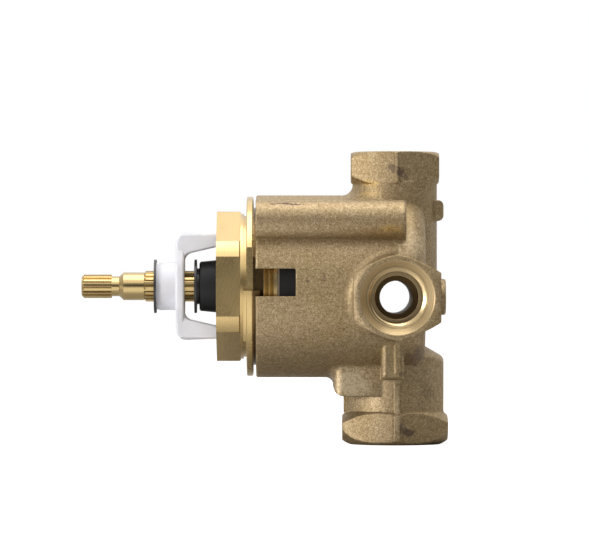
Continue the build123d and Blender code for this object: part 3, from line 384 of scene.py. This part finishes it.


# Materials

# Spots on the casting: place and reach in millimetres, then strength
# Stains and marks, and painted shade on both sides of the rib
STAINS_AND_SHADE = (
    # smudge on the top collar
    ((-1.4, -16.0, 103.8), (2.6, 3.0, 2.4), 0.6),
    ((1.8, -16.0, 102.0), (2.4, 3.0, 2.6), 0.7),
    ((4.0, -16.0, 100.4), (1.6, 3.0, 1.8), 0.45),
    # smudge on the bottom collar
    ((5.0, -19.0, 4.8), (3.4, 4.0, 2.2), 0.75),
    ((2.6, -19.0, 6.4), (2.0, 4.0, 2.8), 0.5),
    # dark line along the bar
    ((-41.5, -31.0, 90.2), (4.6, 6.0, 0.42), 1.0),
    ((-37.4, -31.0, 89.8), (3.4, 6.0, 0.34), 1.0),
    ((-45.6, -31.0, 89.9), (2.2, 6.0, 0.3), 0.9),
    # round the bottom neck
    ((2.6, -26.0, 27.0), (3.0, 4.0, 1.2), 0.45),
    ((12.5, -16.0, 20.2), (3.4, 8.0, 4.4), 0.3),
    # small marks on the barrel
    ((-32.7, -34.0, 61.4), (1.0, 3.0, 0.8), 0.6),
    ((-34.6, -31.0, 31.0), (1.2, 6.0, 0.8), 0.4),
    ((-26.8, -34.0, 62.6), (1.2, 3.0, 1.6), 0.35),
    ((-29.5, -31.0, 43.0), (1.6, 4.0, 0.5), 0.35),
    # painted shade on both sides of the rib under the near port
    ((7.5, -20.0, 33.5), (5.0, 9.0, 6.0), 0.55),
    ((-3.8, -26.5, 31.5), (1.6, 3.0, 7.0), 0.25),
)
# Pale scrapes and marks, and spots of painted light and highlight
PALE_MARKS_AND_LIGHT = (
    # scrape above the near port
    ((2.3, -31.0, 74.9), (3.4, 6.0, 0.5), 0.6),
    ((1.2, -31.0, 73.4), (0.6, 6.0, 1.8), 0.6),
    # parting line of the bottom neck
    ((0.4, -18.5, 12.0), (1.0, 5.0, 14.0), 0.55),
    # dash beside the window
    ((-29.0, -34.0, 61.0), (1.6, 4.0, 0.4), 0.4),
    # painted light on the shoulder under the barrel
    ((-16.5, -17.0, 23.0), (9.0, 6.0, 7.0), 0.75),
    # painted light above the near port
    ((6.5, -28.0, 75.0), (5.0, 9.0, 7.0), 0.5),
    # painted light on the front corner of the near collar
    ((-14.6, -42.0, 55.4), (2.2, 7.0, 12.0), 0.7),
    # painted highlight along the rim of the barrel over the window
    ((-51.8, -34.0, 68.5), (0.5, 6.0, 6.5), 0.6),
)
TINTS = (
    # under the end of the bar
    ((-2.0, -35.0, 80.8), (5.5, 5.0, 1.9), 0.55),
    # foot of the top neck
    ((-11.0, -14.0, 98.0), (6.0, 6.0, 1.8), 0.6),
    ((-12.0, -14.0, 94.0), (8.0, 8.0, 1.5), 0.35),
)


def metres(values):
    """Millimetres to metres."""
    return tuple(value * MM for value in values)


def darker(colour, share):
    """A colour times a share."""
    return tuple(value * share for value in colour)


def spotted(nodes, place, colour, spots, spot_colour):
    """A colour with soft spots of another one on it."""
    for centre, reach, strength in spots:
        mask = nodes.group(group("Soft spot", build_spot_group), {
            "Vector": place, "Place": metres(centre), "Reach": metres(reach), "Breakup": 0.9})["Mask"]
        colour = nodes.mix(nodes.math("MULTIPLY", mask, strength), colour, spot_colour)
    return colour


def axis_distance(nodes, first, second):
    """The distance from an axis, of the two coordinates across it."""
    return nodes.math("SQRT", nodes.math("ADD", nodes.math("MULTIPLY", first, first),
                                         nodes.math("MULTIPLY", second, second)))


def bore_masks(nodes, place):
    """A mask of the machined bores, a coordinate across their turning marks, and a mask of painted shade deep
    in the side bores.
    """
    x, y, z = nodes.parts(place)
    outward = nodes.math("ABSOLUTE", y)
    upright = axis_distance(nodes, x, y)
    level = axis_distance(nodes, x, nodes.math("SUBTRACT", z, SIDE_AXIS_Z))
    top = nodes.math("MULTIPLY", nodes.math("LESS_THAN", upright, PORT_RADIUS + PORT_RIM),
                     nodes.math("GREATER_THAN", z, TOP_BORE_LOW_Z))
    inlet = nodes.math("MULTIPLY", nodes.math("LESS_THAN", upright, INLET_RADIUS + INLET_RIM),
                       nodes.math("LESS_THAN", z, INLET_BORE_HIGH_Z))
    side = nodes.math("MULTIPLY", nodes.math("LESS_THAN", level, PORT_RADIUS + PORT_RIM),
                      nodes.math("GREATER_THAN", outward, SIDE_BORE_INNER_Y))
    bores = nodes.math("MAXIMUM", nodes.math("MAXIMUM", top, inlet), side)
    upright_turn = nodes.math("ADD", upright, nodes.math("MULTIPLY", z, 0.6))
    side_turn = nodes.math("ADD", level, nodes.math("MULTIPLY", outward, 0.6))
    across = nodes.math("ADD", nodes.math("MULTIPLY", side_turn, side),
                        nodes.math("MULTIPLY", upright_turn, nodes.math("SUBTRACT", 1.0, side)))
    # Painted shade: the side bores darken with depth
    depth = nodes.math("MULTIPLY", side, nodes.ramp(outward, SIDE_SHADE_START_Y, SIDE_SHADE_FULL_Y))
    return bores, across, depth


def casting_material(settings):
    """Blasted brass with pits, patches, stains, tints and turned bores, with painted light and shade in spots
    and painted shade deep in the side bores.
    """
    material, nodes, shader, place = new_material("Cast brass")
    grain = nodes.group(group("Grain", build_grain_group),
                        {"Vector": place, "Size": settings.grain_size, "Patches": 0.018})
    colour = nodes.mix(nodes.math("MULTIPLY", grain["Patch"], 0.3), settings.colour, settings.ochre_colour)
    colour = spotted(nodes, place, colour, TINTS, settings.tint_colour)
    # Pale spots, some of them painted light and highlight
    colour = spotted(nodes, place, colour, PALE_MARKS_AND_LIGHT, settings.pale_grain_and_light_colour)
    colour = nodes.mix(nodes.math("MULTIPLY", grain["Pale"], 0.55), colour, settings.pale_grain_and_light_colour)
    colour = nodes.mix(nodes.math("MULTIPLY", grain["Dark"], 0.6), colour, settings.dark_colour)
    # Stains, with painted shade beside the rib
    colour = spotted(nodes, place, colour, STAINS_AND_SHADE, settings.stain_and_shade_colour)

    bores, across, depth = bore_masks(nodes, place)
    colour = nodes.mix(bores, colour, settings.bore_colour)
    rings = nodes.group(group("Tool marks", build_marks_group),
                        {"Vector": place, "Across": across, "Pitch": settings.turn_pitch, "Wander": 0.25})
    ringed = nodes.math("MULTIPLY", nodes.math("MULTIPLY", rings["Mask"], bores), 0.35)
    colour = nodes.mix(ringed, colour, settings.turn_mark_and_depth_shade_colour)
    # Painted shade deep in the side bores
    colour = nodes.mix(depth, colour, settings.turn_mark_and_depth_shade_colour)
    nodes.feed(shader.inputs["Base Color"], colour)

    height = nodes.math("MULTIPLY", grain["Height"], nodes.math("SUBTRACT", 1.0, bores))
    bump(nodes, shader, height, settings.grain_height, settings.edge_round)
    roughness = nodes.math("ADD", nodes.math("MULTIPLY", grain["Patch"], 0.06), 0.5)
    roughness = nodes.math("SUBTRACT", roughness, nodes.math("MULTIPLY", bores, 0.16))
    nodes.feed(shader.inputs["Roughness"], roughness)
    shader.inputs["Metallic"].default_value = 0.75
    return material


def brass_material(name, colour, settings, milled=False, shade_x=None, polish=0.0):
    """Turned metal, with milling marks on the side flats or a stretch along X painted dark as shade where
    asked.
    """
    material, nodes, shader, place = new_material(name)
    x, _, z = nodes.parts(place)
    marks = group("Tool marks", build_marks_group)
    turned = nodes.group(marks, {"Vector": place, "Across": x, "Pitch": settings.turn_pitch, "Wander": 0.1})
    height = nodes.math("MULTIPLY", turned["Height"], 0.3)
    tone = nodes.math("MULTIPLY", turned["Mask"], 0.12)
    if milled:
        up = nodes.math("SUBTRACT", z, STEM_AXIS_Z)
        side_flats = nodes.ramp(nodes.math("ABSOLUTE", up), MILLED_END, MILLED_FULL)
        passes = ((0.5, settings.mill_pitch, 0.26), (-0.35, settings.mill_pitch * 1.7, 0.12))
        for lean, pitch, weight in passes:
            slant = nodes.math("ADD", x, nodes.math("MULTIPLY", up, lean))
            mill = nodes.group(marks, {"Vector": place, "Across": slant, "Pitch": pitch, "Wander": 1.1})
            lines = nodes.math("MULTIPLY", mill["Mask"], side_flats)
            height = nodes.math("ADD", height, nodes.math("MULTIPLY", lines, weight))
            tone = nodes.math("ADD", tone, nodes.math("MULTIPLY", lines, weight))
    shade = nodes.mix(tone, colour, darker(colour, 0.62))
    # Painted shade: the stretch along X is darkened as if shadowed behind the ring's flange
    if shade_x is not None:
        dull = nodes.math("MULTIPLY", nodes.math("GREATER_THAN", x, shade_x[0]),
                          nodes.math("LESS_THAN", x, shade_x[1]))
        shade = nodes.mix(dull, shade, settings.recess_shade_colour)
    nodes.feed(shader.inputs["Base Color"], shade)
    bump(nodes, shader, height, TOOL_MARK_HEIGHT)
    smudge = nodes.noise(place, 90.0, 3.0, 0.55)
    roughness = nodes.math("ADD", nodes.math("MULTIPLY", smudge, 0.2), 0.18 - polish)
    nodes.feed(shader.inputs["Roughness"], roughness)
    shader.inputs["Metallic"].default_value = 1.0
    shader.inputs["Coat Weight"].default_value = 0.25
    shader.inputs["Coat Roughness"].default_value = 0.3
    return material


def plastic_material(name, colour, roughness, grain_size, grain_height=0.01 * MM, specular=0.5):
    """Moulded plastic, rubber, ceramic or blackened steel with a fine skin."""
    material, nodes, shader, place = new_material(name)
    grain = nodes.group(group("Grain", build_grain_group),
                        {"Vector": place, "Size": grain_size, "Patches": 0.012})
    shade = nodes.mix(nodes.math("MULTIPLY", grain["Patch"], 0.35), colour, darker(colour, 0.82))
    nodes.feed(shader.inputs["Base Color"], shade)
    rough = nodes.math("ADD", nodes.math("MULTIPLY", grain["Patch"], 0.1), roughness)
    nodes.feed(shader.inputs["Roughness"], rough)
    bump(nodes, shader, grain["Height"], grain_height)
    shader.inputs["Specular IOR Level"].default_value = specular
    return material


# Pieces

def link(name, mesh, material):
    """A new object of the scene."""
    obj = bpy.data.objects.new(name, mesh)
    mesh.materials.append(material)
    bpy.context.scene.collection.objects.link(obj)
    return obj


def skin_rings(work, rings):
    """Close a row of equal rings of corners into one solid."""
    for first, second in zip(rings, rings[1:]):
        for corner in range(len(first)):
            after = (corner + 1) % len(first)
            work.faces.new((first[corner], first[after], second[after], second[corner]))
    work.faces.new(reversed(rings[0]))
    work.faces.new(rings[-1])


def thread_mesh(name, radius, length, thread):
    """A closed helical ridge inside a bore along Z, its mouth at the top, crests inward."""
    mesh = bpy.data.meshes.new(name)
    work = bmesh.new()
    pitch = thread.pitch
    root = radius + THREAD_SINK
    root_half = pitch * 0.42
    crest_half = pitch * 0.06
    fade = thread.steps * 0.6
    count = int(length / pitch * thread.steps)
    rings = []
    for index in range(count + 1):
        angle = math.tau * index / thread.steps
        height = -length + pitch / 2 + (length - pitch) * index / count
        ease = min(1.0, index / fade, (count - index) / fade)
        crest = radius - thread.depth * max(ease, 0.02)
        corners = ((root, -root_half), (crest, -crest_half), (crest, crest_half), (root, root_half))
        rings.append([work.verts.new((reach * math.cos(angle), reach * math.sin(angle), height + rise))
                      for reach, rise in corners])
    skin_rings(work, rings)
    bmesh.ops.recalc_face_normals(work, faces=work.faces)
    work.to_mesh(mesh)
    work.free()
    return mesh


def waisted_plate(name, centre, thickness, half_widths, half_heights, edge):
    """An upright plate with rounded edges, wide round its centre and narrower towards its ends."""
    mesh = bpy.data.meshes.new(name)
    work = bmesh.new()
    steps = 24
    edge_steps = 4
    rings = []
    for step in range(-steps, steps + 1):
        rise = half_heights[1] * step / steps
        share = min(max((abs(rise) - half_heights[0]) / (half_heights[1] - half_heights[0]), 0.0), 1.0)
        width = half_widths[0] + (half_widths[1] - half_widths[0]) * share * share * (3 - 2 * share)
        ring = []
        for side_x, side_y, first in ((1, 1, 0), (-1, 1, 90), (-1, -1, 180), (1, -1, 270)):
            for turn in range(edge_steps + 1):
                angle = math.radians(first + turn * 90 / edge_steps)
                ring.append(work.verts.new((
                    centre[0] + side_x * (thickness / 2 - edge) + edge * math.cos(angle),
                    centre[1] + side_y * (width - edge) + edge * math.sin(angle),
                    centre[2] + rise)))
        rings.append(ring)
    skin_rings(work, rings)
    for face in work.faces:
        face.smooth = len(face.verts) == 4
    work.to_mesh(mesh)
    work.free()
    return mesh


# Operators

class CastingFinish(bpy.types.Operator):
    """Give the casting its blasted skin and machined bores"""
    bl_idname = "valve.casting_finish"
    bl_label = "Casting"

    def execute(self, context):
        finish_node("valve_body", casting_material(context.scene.valve_casting))
        return {"FINISHED"}


class BonnetFinish(bpy.types.Operator):
    """Give the bonnet nut and the retaining ring their machined brass"""
    bl_idname = "valve.bonnet_finish"
    bl_label = "Bonnet nut and ring"

    def execute(self, context):
        metal = context.scene.valve_metal
        finish_node("bonnet_nut", brass_material("Milled brass", metal.nut_colour, metal, milled=True))
        finish_node("retaining_ring", brass_material("Turned brass", metal.nut_colour, metal,
                                                     shade_x=RING_SHADE_X))
        return {"FINISHED"}


class StemFinish(bpy.types.Operator):
    """Give the stem its turned brass and the clips and collar their black steel"""
    bl_idname = "valve.stem_finish"
    bl_label = "Stem and clips"

    def execute(self, context):
        metal = context.scene.valve_metal
        finish_node("stem", brass_material("Stem brass", metal.stem_colour, metal, polish=0.05))
        black = plastic_material("Black steel", metal.clip_colour, roughness=0.35, grain_size=0.2 * MM)
        for name in ("outer_clip", "inner_clip", "thrust_collar"):
            finish_node(name, black)
        return {"FINISHED"}


class YokeFinish(bpy.types.Operator):
    """Give the yoke and the drive carrier their white plastic, and the yoke its plate"""
    bl_idname = "valve.yoke_finish"
    bl_label = "Yoke"

    def execute(self, context):
        plastic = context.scene.valve_plastic
        white = plastic_material("White acetal", plastic.yoke_colour, roughness=0.38, grain_size=0.6 * MM)
        finish_node("limit_yoke", white)
        finish_node("drive_carrier", white)
        mesh = waisted_plate("yoke_plate", (plastic.plate_x, 0.0, STEM_AXIS_Z), PLATE_THICKNESS,
                             PLATE_HALF_WIDTHS, PLATE_HALF_HEIGHTS, PLATE_EDGE)
        plate = link("yoke_plate", mesh, white)
        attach(plate, TURNING_BODY)
        return {"FINISHED"}


class CartridgeFinish(bpy.types.Operator):
    """Give the bushing, the cartridge, its pin and the seals their plastics, ceramic, steel and rubber"""
    bl_idname = "valve.cartridge_finish"
    bl_label = "Cartridge and seals"

    def execute(self, context):
        plastic = context.scene.valve_plastic
        metal = context.scene.valve_metal
        black = plastic_material("Black plastic", plastic.black_colour, roughness=0.48, grain_size=0.5 * MM,
                                 specular=0.25)
        grey = plastic_material("Grey plastic", plastic.grey_colour, roughness=0.5, grain_size=0.4 * MM)
        rubber = plastic_material("Seal rubber", plastic.rubber_colour, roughness=0.6, grain_size=0.3 * MM)
        ceramic = plastic_material("Ceramic", plastic.ceramic_colour, roughness=0.15, grain_size=0.2 * MM,
                                   grain_height=0.002 * MM)
        steel = brass_material("Pin steel", metal.pin_colour, metal)
        for name in ("stem_bushing", "cartridge_housing", "cartridge_base"):
            finish_node(name, black)
        finish_node("slip_washer", grey)
        finish_node("locating_pin", steel)
        for name in ("moving_ceramic_disc", "fixed_ceramic_disc"):
            finish_node(name, ceramic)
        for name in ("housing_o_ring", "disc_seal", "base_seal_centre", "base_seal_top", "base_seal_bottom",
                     "stem_o_ring_front", "stem_o_ring_rear"):
            finish_node(name, rubber)
        return {"FINISHED"}


class PortThreads(bpy.types.Operator):
    """Set a helical thread ridge in each of the four ports"""
    bl_idname = "valve.port_threads"
    bl_label = "Port threads"

    def execute(self, context):
        thread = context.scene.valve_thread
        brass = brass_material("Thread brass", context.scene.valve_casting.bore_colour,
                               context.scene.valve_metal)
        for name, outside in THREAD_STARTS.items():
            mount = MOUNTS[name]
            axis = Vector(mount["axis"]).normalized()
            mesh = thread_mesh(f"{name}_thread", mount["dims"]["r_mm"] * MM,
                               mount["dims"]["length_mm"] * MM, thread)
            turn = Vector((0, 0, 1)).rotation_difference(axis).to_matrix().to_4x4()
            mesh.transform(Matrix.Translation(Vector(mount["pos_m"]) + axis * outside) @ turn)
            ridge = link(f"{name}_thread", mesh, brass)
            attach(ridge, FIXED_BODY)
        return {"FINISHED"}


class Stage(bpy.types.Operator):
    """Make the floor, the soft lights, the white background and the camera"""
    bl_idname = "valve.stage"
    bl_label = "Stage"

    def execute(self, context):
        settings = context.scene.valve_stage
        self.make_camera(context, settings)
        self.make_floor(settings)
        self.make_world(context, settings)
        self.make_lights(context, settings)
        context.scene.view_settings.view_transform = "Standard"
        return {"FINISHED"}

    def make_camera(self, context, settings):
        """A long lens, level with the valve."""
        data = bpy.data.cameras.new("Camera")
        data.sensor_width = 36.0
        data.lens = data.sensor_width * settings.distance / settings.view_width
        data.dof.use_dof = False
        camera = bpy.data.objects.new("Camera", data)
        camera.location = (settings.centre_x, -settings.distance, settings.centre_z)
        camera.rotation_euler = (math.pi / 2, 0.0, 0.0)
        context.scene.collection.objects.link(camera)
        bpy.context.scene.camera = camera

    def make_floor(self, settings):
        """A pale floor that the camera sees as white, with a patch before the valve that glows only in
        metal's reflections, a painted reflection.
        """
        mesh = bpy.data.meshes.new("Floor")
        corners = [(-FLOOR_REACH, -FLOOR_REACH, 0), (FLOOR_REACH, -FLOOR_REACH, 0),
                   (FLOOR_REACH, FLOOR_REACH, 0), (-FLOOR_REACH, FLOOR_REACH, 0)]
        mesh.from_pydata(corners, [], [(0, 1, 2, 3)])
        material, nodes, shader, place = new_material("Pale floor")
        nodes.feed(shader.inputs["Base Color"], settings.floor_colour)
        shader.inputs["Roughness"].default_value = 0.9
        shader.inputs["Specular IOR Level"].default_value = 0.0
        path = nodes.new("ShaderNodeLightPath").outputs
        mirrored = nodes.math("MAXIMUM", path["Is Glossy Ray"], path["Is Transmission Ray"])
        x, y, _ = nodes.parts(place)
        near = nodes.math("MULTIPLY", nodes.ramp(y, *FLOOR_NEAR_Y), nodes.ramp(y, *FLOOR_FAR_Y))
        near = nodes.math("MULTIPLY", near, nodes.ramp(x, *FLOOR_LEFT_X))
        # Painted reflection: the floor before the valve glows for glossy and transmission rays
        front = nodes.math("MULTIPLY", near, settings.front_floor_glow)
        lift = nodes.math("ADD", nodes.math("MULTIPLY", path["Is Camera Ray"], settings.floor_lift),
                          nodes.math("MULTIPLY", mirrored, front))
        nodes.feed(shader.inputs["Emission Color"], (1.0, 1.0, 1.0))
        nodes.feed(shader.inputs["Emission Strength"], lift)
        link("Floor", mesh, material)

    def make_world(self, context, settings):
        """White to the camera, a white wall and ceiling to metal, and an even light elsewhere."""
        world = bpy.data.worlds.new("Studio")
        world.use_nodes = True
        context.scene.world = world
        nodes = Nodes(world.node_tree)
        path = nodes.new("ShaderNodeLightPath").outputs
        direction = nodes.parts(nodes.new("ShaderNodeTexCoord").outputs["Generated"])
        wall = nodes.ramp(direction[1], *WALL_Y)
        ceiling = nodes.ramp(direction[2], *CEILING_Z)
        bright = nodes.math("MAXIMUM", wall, ceiling)
        mirrored = nodes.math("MULTIPLY", bright, settings.wall_level - settings.room_level)
        mirrored = nodes.math("ADD", mirrored, settings.room_level)
        glossy = nodes.math("MAXIMUM", path["Is Glossy Ray"], path["Is Transmission Ray"])
        even = nodes.math("SUBTRACT", 1.0, nodes.math("MAXIMUM", glossy, path["Is Camera Ray"]))
        strength = nodes.math("ADD", path["Is Camera Ray"], nodes.math("MULTIPLY", glossy, mirrored))
        strength = nodes.math("ADD", strength, nodes.math("MULTIPLY", even, settings.ambient_level))
        background = world.node_tree.nodes["Background"]
        nodes.feed(background.inputs["Color"], (1.0, 1.0, 1.0))
        nodes.feed(background.inputs["Strength"], strength)

    def make_lights(self, context, settings):
        """Square soft lights, each aimed at the middle of the view on the stem's axis."""
        target = Vector((settings.centre_x, 0.0, STEM_AXIS_Z))
        lamps = (("Top light", (0.0, -0.1, 1.2), 0.9, settings.top_power),
                 ("Back light", (-0.1, 0.75, 1.15), 0.8, settings.back_power),
                 ("Front light", (-0.2, -0.9, 1.0), 0.9, settings.front_power),
                 ("Left light", (-1.1, -0.65, 0.18), 0.4, settings.left_power))
        for name, place, size, power in lamps:
            data = bpy.data.lights.new(name, "AREA")
            data.shape = "SQUARE"
            data.size = size
            data.energy = power
            lamp = bpy.data.objects.new(name, data)
            lamp.location = place
            lamp.rotation_euler = (target - Vector(place)).to_track_quat("-Z", "Y").to_euler()
            context.scene.collection.objects.link(lamp)


class ValvePanel(bpy.types.Panel):
    """Lists the valve's operators and settings"""
    bl_idname = "VIEW3D_PT_valve"
    bl_label = "Shower Transfer Valve"
    bl_space_type = "VIEW_3D"
    bl_region_type = "UI"
    bl_category = "Valve"

    def draw(self, context):
        for operator in OPERATORS:
            self.layout.operator(operator.bl_idname)
        for name in SETTINGS:
            settings = getattr(context.scene, name)
            box = self.layout.box()
            for key in settings.bl_rna.properties.keys():
                if key not in ("rna_type", "name"):
                    box.prop(settings, key)


OPERATORS = (CastingFinish, BonnetFinish, StemFinish, YokeFinish, CartridgeFinish, PortThreads, Stage)
SETTINGS = {
    "valve_casting": CastingSettings,
    "valve_metal": MetalSettings,
    "valve_plastic": PlasticSettings,
    "valve_thread": ThreadSettings,
    "valve_stage": StageSettings,
}


def register():
    for name, settings in SETTINGS.items():
        bpy.utils.register_class(settings)
        setattr(bpy.types.Scene, name, PointerProperty(type=settings))
    for operator in OPERATORS:
        bpy.utils.register_class(operator)
    bpy.utils.register_class(ValvePanel)


def unregister():
    bpy.utils.unregister_class(ValvePanel)
    for operator in reversed(OPERATORS):
        bpy.utils.unregister_class(operator)
    for name, settings in SETTINGS.items():
        delattr(bpy.types.Scene, name)
        bpy.utils.unregister_class(settings)


def main():
    register()
    bpy.ops.valve.casting_finish()
    bpy.ops.valve.bonnet_finish()
    bpy.ops.valve.stem_finish()
    bpy.ops.valve.yoke_finish()
    bpy.ops.valve.cartridge_finish()
    bpy.ops.valve.port_threads()
    bpy.ops.valve.stage()


if __name__ == "__main__":
    main()
